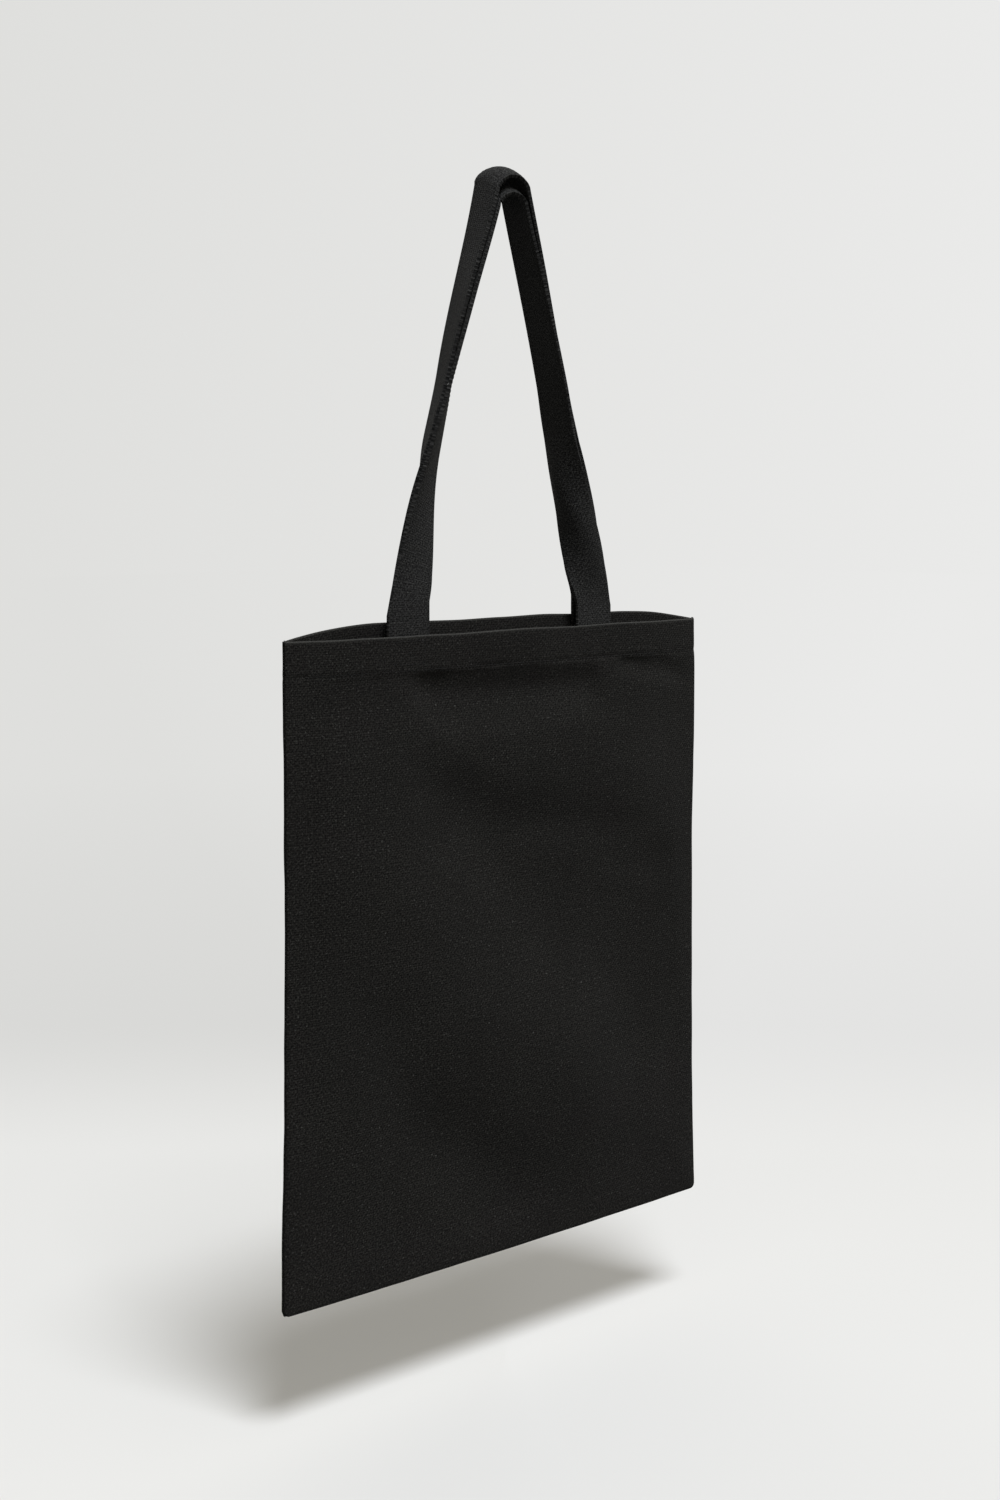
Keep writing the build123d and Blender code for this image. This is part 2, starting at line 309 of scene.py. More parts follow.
@dataclass(frozen=True)
class ThreadFinish:
    """Twisted polyester sewing thread, dyed to match: a little smoother and glossier than the canvas round it."""

    name: str = "black_polyester_thread"
    ply: str = "#101010"
    highlight: str = "#1e1e1d"
    ply_mm: float = 0.5
    ply_depth_mm: float = 0.1
    bands_per_scale: float = 20.0
    roughness: float = 0.75

    def material(self) -> Material:
        """Build the thread with slanting ply lines.

        Returns:
            The thread.
        """
        material, tree, shader = new_material(self.name)
        place = add_node(tree, "ShaderNodeTexCoord").outputs["Object"]
        bands = {"Vector": place, "Scale": 1 / (self.ply_mm * MM) / self.bands_per_scale, "Distortion": 1.0}
        plies = add_node(tree, "ShaderNodeTexWave", bands, bands_direction="DIAGONAL").outputs["Fac"]
        relief = {"Strength": 0.4, "Distance": self.ply_depth_mm * MM, "Height": plies}
        look = {
            "Base Color": mixed(tree, plies, self.ply, self.highlight),
            "Normal": add_node(tree, "ShaderNodeBump", relief).outputs["Normal"],
            "Roughness": self.roughness,
            "Specular IOR Level": 0.2,
        }
        feed(tree, shader, look)
        return material


@dataclass(frozen=True)
class Surround:
    """The pale surround far from the bag: a little darker on the camera's left than on its right."""

    left: str = "#dfdfdd"
    right: str = "#eaeae9"
    rightward: Triple = (0.728, -0.686, 0.0)
    backward: Triple = (0.686, 0.728, 0.0)
    reach: float = 0.22

    def colour(self, tree: NodeTree, toward: NodeSocket) -> NodeSocket:
        """Grade the surround from left to right by a direction."""
        side = vectors(tree, "DOT_PRODUCT", toward, self.rightward)
        return mixed(tree, ranged(tree, side, (-self.reach, self.reach)), self.left, self.right)


@dataclass(frozen=True)
class PaperFinish:
    """Seamless studio paper: flat and pale, fading into the pale surround behind the bag.

    The eye sees it nearly white. A faint glow of the surround's tone, painted in everywhere, pales its shadow as
    painted light, and its colour is painted a little darker farther back and towards the cove as painted shade. It
    throws back less light than it shows, as a floor far below the bag would.
    """

    surround: Surround
    fade: Pair = (0.8, 2.6)
    cove: Pair = (0.28, 0.98)
    cove_past: float = 3.2
    cove_light: float = 0.938
    name: str = "pale_seamless_paper"
    colour: str = "#e1e1df"
    bounce: str = "#747473"
    lift: float = 0.19
    dim_over: float = 0.42
    far_light: float = 0.955

    def material(self) -> Material:
        """Build the paper.

        Returns:
            The paper.
        """
        material, tree, shader = new_material(self.name)
        place = add_node(tree, "ShaderNodeTexCoord").outputs["Object"]
        seen = add_node(tree, "ShaderNodeLightPath").outputs["Is Camera Ray"]
        colour = mixed(tree, seen, self.bounce, self.colour)
        behind = vectors(tree, "DOT_PRODUCT", place, self.surround.backward)
        # Painted shade: the paper's colour darkens farther back.
        painted_far_shade = ranged(tree, behind, (0.0, self.dim_over), (1.0, self.far_light))
        paper = add_node(tree, "ShaderNodeVectorMath", {0: colour, "Scale": painted_far_shade}, operation="SCALE").outputs[0]
        feed(tree, shader, {"Base Color": paper, "Roughness": 0.95, "Specular IOR Level": 0.1})
        level = vectors(tree, "MULTIPLY", place, (1, 1, 0))
        far = vectors(tree, "LENGTH", level)
        runs = ((far, self.fade), (behind, self.cove))
        fades = [ranged(tree, run, reach, interpolation_type="SMOOTHSTEP") for run, reach in runs]
        # Painted light: the glow never falls below the lift, which pales the shadow.
        lifted = maths(tree, "MAXIMUM", maths(tree, "MAXIMUM", *fades), self.lift)
        share = maths(tree, "MULTIPLY", lifted, seen)
        tone = self.surround.colour(tree, vectors(tree, "NORMALIZE", level))
        # Painted shade: the glow is a little dimmer where the floor meets the surround.
        dim = ranged(tree, far, (self.cove[1], self.cove_past), (self.cove_light, 1.0))
        glow = add_node(tree, "ShaderNodeEmission", {"Color": tone, "Strength": dim}).outputs[0]
        shown = add_node(tree, "ShaderNodeMixShader", {0: share, 1: shader.outputs[0], 2: glow}).outputs[0]
        feed(tree, tree.nodes["Material Output"], {"Surface": shown})
        return material


@dataclass(frozen=True)
class BagCut:
    """Sizes of the bag body in millimetres, the same as or close to those of the CAD source."""

    width: float = 380.0
    height: float = 420.0
    hem: float = 25.0
    canvas: float = 0.9
    allowance: float = 10.0
    seam_depth: float = 1.85
    swell: float = 5.0
    flat_half: float = 112.0
    flat_above_bottom: float = 120.0
    bottom_lift: float = 0.19
    rear_rise: float = 8.0
    rise_half: float = 107.0
    strap_drop: float = 300.0
    hem_row: float = 23.0
    fold: float = 0.9
    corner: float = 4.0
    sag: float = 1.2
    mitre: float = 40.0
    seam_gap: float = 0.05
    clearance: float = 2.0

    @property
    def rim_z(self) -> float:
        """Height of the rim at the side seams."""
        return -self.strap_drop

    @property
    def bottom_z(self) -> float:
        """Height of the bottom seam."""
        return self.rim_z - self.height

    @property
    def half(self) -> float:
        """Half of the bag's width."""
        return self.width / 2

    def rise(self, face: Face, x: float) -> float:
        """How far the strap pulls the rim up at x.

        Args:
            face: The half of the bag.
            x: The place along the rim.

        Returns:
            The rise above the corners; 0 on the front.
        """
        if face is Face.FRONT:
            return 0.0
        share = min(max((self.half - abs(x)) / (self.half - self.rise_half), 0.0), 1.0)
        return self.rear_rise * share * (2 - share)


@dataclass(frozen=True)
class LegTwist:
    """How a strap leg turns and bellies on its way up, by shares of its length above the fold."""

    early: float
    early_end: float
    late_end: float
    low_belly: float = 0.0
    high_belly: float = 0.0
    bow: float = 0.5
    sway: float = 0.0
    cup: float = 0.0
    cup_at: float = 0.2
    cup_reach: float = 0.2
    cup_start: float = 0.1
    low_at: float = 0.27
    low_reach: float = 0.28
    high_at: float = 0.57
    high_reach: float = 0.42

    def turned(self, share: float) -> float:
        """The share of the turn that is made."""
        return self.early * ease(share / self.early_end) + (1 - self.early) * ease(share / self.late_end)

    def belly(self, share: float) -> float:
        """How far the leg stands out of its straight line, in millimetres."""
        low = self.low_belly * bump((share - self.low_at) / self.low_reach)
        return low + self.high_belly * bump((share - self.high_at) / self.high_reach)

    def cupped(self, share: float) -> float:
        """How deep the leg's hollow cross-section is, in millimetres."""
        return self.cup * bump((share - self.cup_at) / self.cup_reach) * ease(share / self.cup_start)


@dataclass(frozen=True)
class StrapCut:
    """Sizes of a strap in millimetres, the same as or close to those of the CAD source, and how it turns."""

    radius: float
    crest_z: float
    left: LegTwist
    right: LegTwist
    left_foot: float
    right_foot: float
    crest_x: float
    width: float = 33.0
    thick: float = 2.4
    stand_up: float = 13.0
    tail: float = 21.0
    crest_turn: float = 13.0
    edge_row: float = 3.0
    droop: float = 4.0
    droop_forward: float = 3.5
    droop_reach: float = 90.0
    settle: float = 0.12
    edge_round: float = 0.9
    fold_half: float = 7.0

    def foot_x(self, side: Side) -> float:
        """Where the middle of a strap foot stands along the rim."""
        return self.right_foot if side is Side.RIGHT else self.left_foot


@dataclass(frozen=True)
class SoftFold:
    """A soft ridge or hollow of hanging cloth along a line on the panel, in millimetres."""

    line: Line
    height: float
    reach: float

    def rise(self, x: float, z: float) -> float:
        """How far the cloth stands out at a place.

        Args:
            x: Place along the rim.
            z: Height in the frame.

        Returns:
            The rise, which fades at the line's ends and at its reach.
        """
        nearest = math.inf
        for (x0, z0), (x1, z1) in zip(self.line, self.line[1:]):
            run_x, run_z = x1 - x0, z1 - z0
            share = ((x - x0) * run_x + (z - z0) * run_z) / (run_x**2 + run_z**2)
            share = min(max(share, 0.0), 1.0)
            nearest = min(nearest, math.hypot(x - x0 - run_x * share, z - z0 - run_z * share))
        return self.height * bump(nearest / self.reach)


def along_line(places: Line, at: float) -> float:
    """Read a smooth line through a few places.

    Args:
        places: Pairs of where and how much, with where going down.
        at: The place to read.

    Returns:
        The amount there.
    """
    for (high, before), (low, after) in zip(places, places[1:]):
        if at >= low:
            return before + (after - before) * ease((high - at) / (high - low))
    return places[-1][1]


def flat_cut(columns: list[float], rows: list[float], hang: Callable[[float, float], Vector]) -> bmesh.types.BMesh:
    """Cut a flat piece of cloth as a grid and hang it; its cut map keeps the flat cut, in metres.

    Args:
        columns: Places of the grid lines across the cut, in millimetres.
        rows: Places of the grid lines along the cut, in millimetres.
        hang: Gives the place of a point of the cut on the hanging bag, in millimetres.

    Returns:
        The hanging cloth, in metres.
    """
    cloth = bmesh.new()
    cut = cloth.loops.layers.uv.new(CUT_MAP)
    bmesh.ops.create_grid(cloth, x_segments=len(columns) - 1, y_segments=len(rows) - 1, size=1.0)
    flat: dict[bmesh.types.BMVert, Pair] = {}
    for vert in cloth.verts:
        column = round((vert.co.x + 1) / 2 * (len(columns) - 1))
        row = round((vert.co.y + 1) / 2 * (len(rows) - 1))
        flat[vert] = (columns[column], rows[row])
    for vert, (u, v) in flat.items():
        vert.co = hang(u, v) * MM
    for face in cloth.faces:
        face.smooth = True
        for loop in face.loops:
            u, v = flat[loop.vert]
            loop[cut].uv = (u * MM, v * MM)
    return cloth


def spaced(low: float, high: float, step: float) -> list[float]:
    """Evenly spaced places from low to high, both included, about a step apart."""
    count = max(1, round((high - low) / step))
    return [low + (high - low) * k / count for k in range(count + 1)]


def as_object(name: str, mesh_work: bmesh.types.BMesh, material: Material) -> Object:
    """Turn finished mesh work into an object at the origin.

    Args:
        name: The object's name.
        mesh_work: The bmesh, which is freed.
        material: The object's only material.

    Returns:
        The object, linked to the scene.
    """
    mesh = bpy.data.meshes.new(name)
    mesh_work.to_mesh(mesh)
    mesh_work.free()
    mesh.materials.append(material)
    piece = bpy.data.objects.new(name, mesh)
    bpy.context.scene.collection.objects.link(piece)
    return piece


@dataclass
class StitchRow:
    """Lockstitches laid end to end along a seam, each a short proud bead of thread."""

    material: Material
    length: float = 2.6
    gap: float = 0.7
    thread: float = 0.62
    proud: float = 0.5
    sides: int = 6
    rings: int = 4
    places: list[Matrix] = field(default_factory=list)

    def bead(self, at: Vector, along: Vector, out: Vector) -> None:
        """Note the place of one stitch.

        Args:
            at: The stitch's middle on the cloth, in millimetres.
            along: The direction of the seam.
            out: The direction out of the cloth.
        """
        along = along.normalized()
        across = out.cross(along).normalized()
        out = along.cross(across)
        turn = Matrix((along * self.length, across * self.thread, out * self.proud)).transposed().to_4x4()
        self.places.append(Matrix.Translation(at * MM) @ Matrix.Scale(MM, 4) @ turn)

    def sew(self, path: list[tuple[Vector, Vector]]) -> None:
        """Lay stitches along a path.

        Args:
            path: Closely spaced points of the seam with the direction out of the cloth, in millimetres.
        """
        ahead = (self.length + self.gap) / 2
        walked = 0.0
        for (start, out), (end, _) in zip(path, path[1:]):
            step = (end - start).length
            while walked + step >= ahead:
                self.bead(start.lerp(end, (ahead - walked) / step), end - start, out)
                ahead += self.length + self.gap
            walked += step

    def finish(self, name: str, node: str) -> Object:
        """Make all stitches laid so far into one piece.

        Args:
            name: The piece's name.
            node: The CAD node that it stands for.

        Returns:
            The stitching.
        """
        work = bmesh.new()
        bmesh.ops.create_uvsphere(work, u_segments=self.sides, v_segments=self.rings, radius=0.5)
        work.verts.index_update()
        rings = [[vert.index for vert in face.verts] for face in work.faces]
        # A sphere's faces come in an order that changes from run to run, so they are put in one of their own.
        starts = [ring.index(min(ring)) for ring in rings]
        faces = sorted(ring[start:] + ring[:start] for ring, start in zip(rings, starts))
        bead = bpy.data.meshes.new("bead")
        bead.from_pydata([vert.co for vert in work.verts], [], faces, shade_flat=False)
        work.clear()
        for place in self.places:
            copy = bead.copy()
            copy.transform(place)
            work.from_mesh(copy)
            bpy.data.meshes.remove(copy)
        bpy.data.meshes.remove(bead)
        self.places.clear()
        piece = as_object(name, work, self.material)
        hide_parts(node)
        return piece


@dataclass(frozen=True)
class Wave:
    """A layer of soft noise: its reach along and across and its height, in millimetres, and its place in the noise."""

    along: float
    across: float
    height: float
    layer: float = 0.0
    lane: float = 0.0

    def at(self, x: float, z: float = 0.0, seed: float = 0.0) -> float:
        """The layer's height at a place."""
        place = Vector((x / self.along, z / self.across + self.lane, self.layer + seed))
        return noise.noise(place) * self.height


@dataclass(frozen=True)
class Drape:
    """How canvas hangs, in millimetres: waves, a puckered hem row, a flared rim and edges that wander."""

    broad: Wave = Wave(120, 150, 0.5, 3.1)
    middling: Wave = Wave(45, 60, 0.25, 8.7)
    fine: Wave = Wave(14, 18, 0.08, 1.9)
    calm_edge: float = 30.0
    calm_rim: float = 60.0
    fold_start: float = 4.0
    row_sink: float = 0.32
    row_least: float = 0.1
    row_pull: Wave = Wave(38, 1, 0.5, lane=4.4)
    row_reach: float = 2.8
    pucker: float = 0.26
    pucker_run: float = 3.9
    pucker_slip: Wave = Wave(30, 1, 2.0, lane=0.4)
    pucker_reach: float = 9.0
    flare: float = 1.5
    flare_half: float = 80.0
    flare_depth: float = 28.0
    rim_wave: Wave = Wave(42, 1, 1.1, 1.7)
    rim_lane: float = 2.6
    rim_calm: float = 40.0
    rim_depth: float = 60.0
    bottom_wave: Wave = Wave(24, 1, 0.25, 0.5, lane=7.3)
    bottom_depth: float = 80.0
    side_wave: Wave = Wave(22, 1, 0.3, 0.5)
    side_lane: float = 3.0
    side_from: float = 90.0
    side_run: float = 100.0
    left_edge: Line = ((-300, 0.0), (-420, -1.2), (-480, -1.9), (-600, -1.3), (-690, 0.4), (-720, 0.3))
    right_edge: Line = ((-300, 0.0), (-345, 0.7), (-480, -2.2), (-620, -2.2), (-720, 0.0))


@dataclass
class Panel:
    """One canvas panel: a swelling face, a rolled rim, and its hem and seam allowances turned inside."""

    face: Face
    cut: BagCut
    folds: tuple[SoftFold, ...] = ()
    seed: float = 0.0
    drape: Drape = Drape()
    pitch: float = 2.6
    turn_pitch: float = 0.48
    inside_pitch: float = 3.0
    row_pitch: float = 0.9
    rim_pitch: float = 0.4
    hem_pitch: float = 2.2
    below_row: float = 8.0
    above_row: float = 6.0
    soft_corner: float = 0.8
    thread_lift: float = 0.05

    def relief(self, x: float, z: float) -> float:
        """Soft unevenness of the hanging cloth.

        Args:
            x: Place along the rim.
            z: Height in the frame.

        Returns:
            How far the cloth stands out of its plain form; negative is a hollow.
        """
        cut, drape, seed = self.cut, self.drape, self.seed
        below = cut.rim_z + cut.rise(self.face, x) - z
        edge = ease((cut.half - abs(x)) / drape.calm_edge) * ease((z - cut.bottom_z) / drape.calm_edge)
        waves = (drape.broad.at(x, z, seed) + drape.middling.at(x, z, seed)) * edge * ease(below / drape.calm_rim)
        row = below - cut.hem_row
        sunk = max(drape.row_least, drape.row_sink + drape.row_pull.at(x, seed=seed))
        dimple = -sunk * bump(row / drape.row_reach)
        drawn = math.sin(x / drape.pucker_run + drape.pucker_slip.at(x, seed=seed))
        pucker = drape.pucker * drawn * bump(row / drape.pucker_reach)
        folded = sum(fold.rise(x, z) for fold in self.folds) * ease(row / drape.fold_start)
        open_rim = drape.flare * bump(x / drape.flare_half) * ease(1 - below / drape.flare_depth)
        return waves + folded * edge + open_rim + drape.fine.at(x, z, seed) + dimple + pucker

    def depth(self, x: float, z: float) -> float:
        """Distance of the panel's outer face from the middle of the bag.

        Args:
            x: Place along the rim.
            z: Height in the frame.

        Returns:
            The distance in millimetres.
        """
        cut = self.cut
        across = self.rounding(max(0.0, abs(x) - cut.flat_half), cut.half - cut.flat_half, cut.swell)
        lifted = cut.swell + cut.bottom_lift
        down = self.rounding(max(0.0, cut.bottom_z + cut.flat_above_bottom - z), cut.flat_above_bottom, lifted)
        a, b = cut.swell - across, lifted - down
        blend = 0.5 + 0.5 * min(max((b - a) / self.soft_corner, -1.0), 1.0)
        least = b + (a - b) * blend - self.soft_corner / 2 * blend * (1 - blend)
        return cut.seam_depth + max(least, 0.0) + self.relief(x, z)

    @staticmethod
    def rounding(run: float, reach: float, rise: float) -> float:
        """How far a round that drops by rise over reach has dropped at a distance run from its top."""
        radius = (reach**2 + rise**2) / (2 * rise)
        return radius - math.sqrt(max(radius**2 - run**2, 0.0))

    def turned_in(self, past: float) -> Triple:
        """Fold cloth back over an edge.

        Args:
            past: How far the cloth runs past the start of its fold.

        Returns:
            How far it reaches outward, how far it sits inward of the outer face, and how far it lies back inside.
        """
        angle = min(max(past / self.cut.fold, 0.0), math.pi)
        back = max(past - math.pi * self.cut.fold, 0.0)
        return self.cut.fold * math.sin(angle), self.cut.fold * (1 - math.cos(angle)), back

    def hang(self, u: float, v: float) -> Vector:
        """Hang a point of the flat cut.

        Args:
            u: Place across the cut, from the middle; past the side folds it lies inside as the seam allowance.
            v: Place up the cut, from the bottom fold; past the rim it goes down inside as the hem.

        Returns:
            The point on the hanging panel.
        """
        cut = self.cut
        side_start, bottom_start = cut.half - cut.fold, cut.fold
        out_x, in_x, back_x = self.turned_in(abs(u) - side_start)
        across = min(abs(u), side_start) + out_x - back_x
        tall = cut.height + cut.rise(self.face, min(across, cut.half))
        rim_start = tall - cut.fold
        over = v / cut.height * tall
        if v < bottom_start:
            out_z, in_z, back_z = self.turned_in(bottom_start - v)
            up = bottom_start - out_z + back_z
            across -= back_z * max(0.0, 1 - (side_start - across) / cut.mitre)
        elif over <= rim_start:
            in_z = 0.0
            up = over + back_x * max(0.0, 1 - (over - bottom_start) / cut.mitre)
        else:
            out_z, in_z, back = self.turned_in(over - rim_start)
            up = rim_start + out_z - back
        across, up = self.rounded_corner(across, up)
        x, z = math.copysign(across, u), cut.bottom_z + up
        inside = back_x > 0 or (v < 0 and in_z > NEARLY_BACK * cut.fold)
        y = cut.seam_gap if inside else max(self.depth(x, z) - in_x - in_z, cut.seam_gap)
        lift = self.ripple(x) * ease(1 - (tall - up) / self.drape.rim_depth) - self.droop(x, up)
        return Vector((self.edge_x(x, z), self.face.value * y, z + lift))

    def rounded_corner(self, across: float, up: float) -> Pair:
        """Draw a bottom corner in to a small round.

        Args:
            across: Distance from the middle of the bag.
            up: Height above the bottom seam.

        Returns:
            Both, drawn in.
        """
        dx = across - (self.cut.half - self.cut.corner)
        dz = self.cut.corner - up
        if dx <= 0 or dz <= 0:
            return across, up
        kept = max(dx, dz) / math.hypot(dx, dz)
        return across - dx * (1 - kept), up + dz * (1 - kept)

    def edge_x(self, x: float, z: float) -> float:
        """Let the side seams wander a little, the same on both panels.

        Args:
            x: Place along the rim.
            z: Height in the frame.

        Returns:
            The place along the rim with the wander.
        """
        drape = self.drape
        line = drape.left_edge if x < 0 else drape.right_edge
        shift = along_line(line, z) + drape.side_wave.at(z, math.copysign(drape.side_lane, x))
        return x + math.copysign(1.0, x) * shift * ease((abs(x) - drape.side_from) / drape.side_run)

    def ripple(self, x: float) -> float:
        """How far the rim waves up or down from its straight line, fading towards the side seams."""
        wave = self.drape.rim_wave.at(x, self.drape.rim_lane * self.face.value)
        return wave * ease((self.cut.half - abs(x)) / self.drape.rim_calm)

    def droop(self, x: float, up: float) -> float:
        """How far the bottom seam hangs below a straight line, the same on both panels."""
        level = self.drape.bottom_wave.at(x) + self.cut.sag * (1 - (x / self.cut.half) ** 2)
        return level * ease(1 - up / self.drape.bottom_depth)

    def columns(self) -> list[float]:
        """Space the grid across the cut, closer at the side folds.

        Returns:
            The places of its lines.
        """
        turn = self.cut.half - self.cut.fold
        past = turn + math.pi * self.cut.fold
        side = spaced(turn, past, self.turn_pitch)[1:]
        side += spaced(past, past + self.cut.allowance - self.cut.fold, self.inside_pitch)[1:]
        return [-u for u in reversed(side)] + spaced(-turn, turn, self.pitch) + side

    def rows(self) -> list[float]:
        """Space the grid up the cut, closer at the bottom fold, the hem's row of stitches and the rim.

        Returns:
            The places of its lines.
        """
        cut = self.cut
        row = cut.height - cut.hem_row
        rim = cut.height - cut.fold
        past = rim + math.pi * cut.fold
        inside = cut.fold - math.pi * cut.fold
        parts = [
            spaced(inside - cut.allowance + cut.fold, inside, self.inside_pitch),
            spaced(inside, cut.fold, self.turn_pitch),
            spaced(cut.fold, row - self.below_row, self.pitch),
            spaced(row - self.below_row, row + self.above_row, self.row_pitch),
            spaced(row + self.above_row, rim, self.hem_pitch),
            spaced(rim, past, self.rim_pitch),
            spaced(past, past + cut.hem - cut.fold, self.hem_pitch),
        ]
        return parts[0] + [v for part in parts[1:] for v in part[1:]]

    def spare(self, u: float, v: float) -> bool:
        """Find the corners where two allowances would lie on each other.

        Args:
            u: Place across the cut.
            v: Place up the cut.

        Returns:
            Whether the cloth is cut away there.
        """
        cut = self.cut
        turned = math.pi * cut.fold
        past_side = abs(u) - (cut.half - cut.fold)
        past_bottom = cut.fold - v
        past_rim = v - (cut.height - cut.fold)
        if past_side > turned:
            return past_bottom > 0 or v > cut.height - cut.hem - cut.clearance
        return past_side > 0 and (past_bottom > turned or past_rim > turned)

    def build(self, material: Material) -> Object:
        """Cut, hang and thicken the panel.

        Args:
            material: The canvas.

        Returns:
            The panel, in place of its CAD node.
        """
        cut = self.cut
        cloth = flat_cut(self.columns(), self.rows(), self.hang)
        flat = cloth.loops.layers.uv[CUT_MAP]
        spare = []
        for face in cloth.faces:
            middle = sum((loop[flat].uv for loop in face.loops), Vector((0, 0))) / len(face.loops) / MM
            if self.spare(middle.x, middle.y):
                spare.append(face)
        bmesh.ops.delete(cloth, geom=spare, context="FACES")
        if self.face is Face.BACK:
            bmesh.ops.reverse_faces(cloth, faces=cloth.faces[:])
        panel = as_object(f"{self.face.word}_panel_canvas", cloth, material)
        wall = panel.modifiers.new("canvas_thickness", "SOLIDIFY")
        wall.thickness = cut.canvas * MM
        wall.offset = -1.0
        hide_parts(f"{self.face.word}_panel")
        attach(panel, "bag")
        return panel

    def hem_stitching(self, row: StitchRow) -> Object:
        """Sew the row that holds the hem.

        Args:
            row: The stitch to use.

        Returns:
            The stitching, in place of its CAD node.
        """
        cut = self.cut
        end = cut.half - cut.allowance - 2 * cut.clearance
        out = Vector((0, self.face.value, 0))
        path = []
        for x in spaced(-end, end, 1.0):
            z = cut.rim_z + cut.rise(self.face, x) - cut.hem_row
            path.append((Vector((x, self.face.value * (self.depth(x, z) + self.thread_lift), z)), out))
        row.sew(path)
        piece = row.finish(f"{self.face.word}_hem_lockstitch", f"{self.face.word}_hem_stitching")
        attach(piece, "bag")
        return piece


@dataclass
class StrapFrame:
    """A cross-section of a strap: its middle, directions across and outward, hollow depth and way along the strap."""

    middle: Vector
    width: Vector
    out: Vector
    cup: float = 0.0
    along: float = 0.0


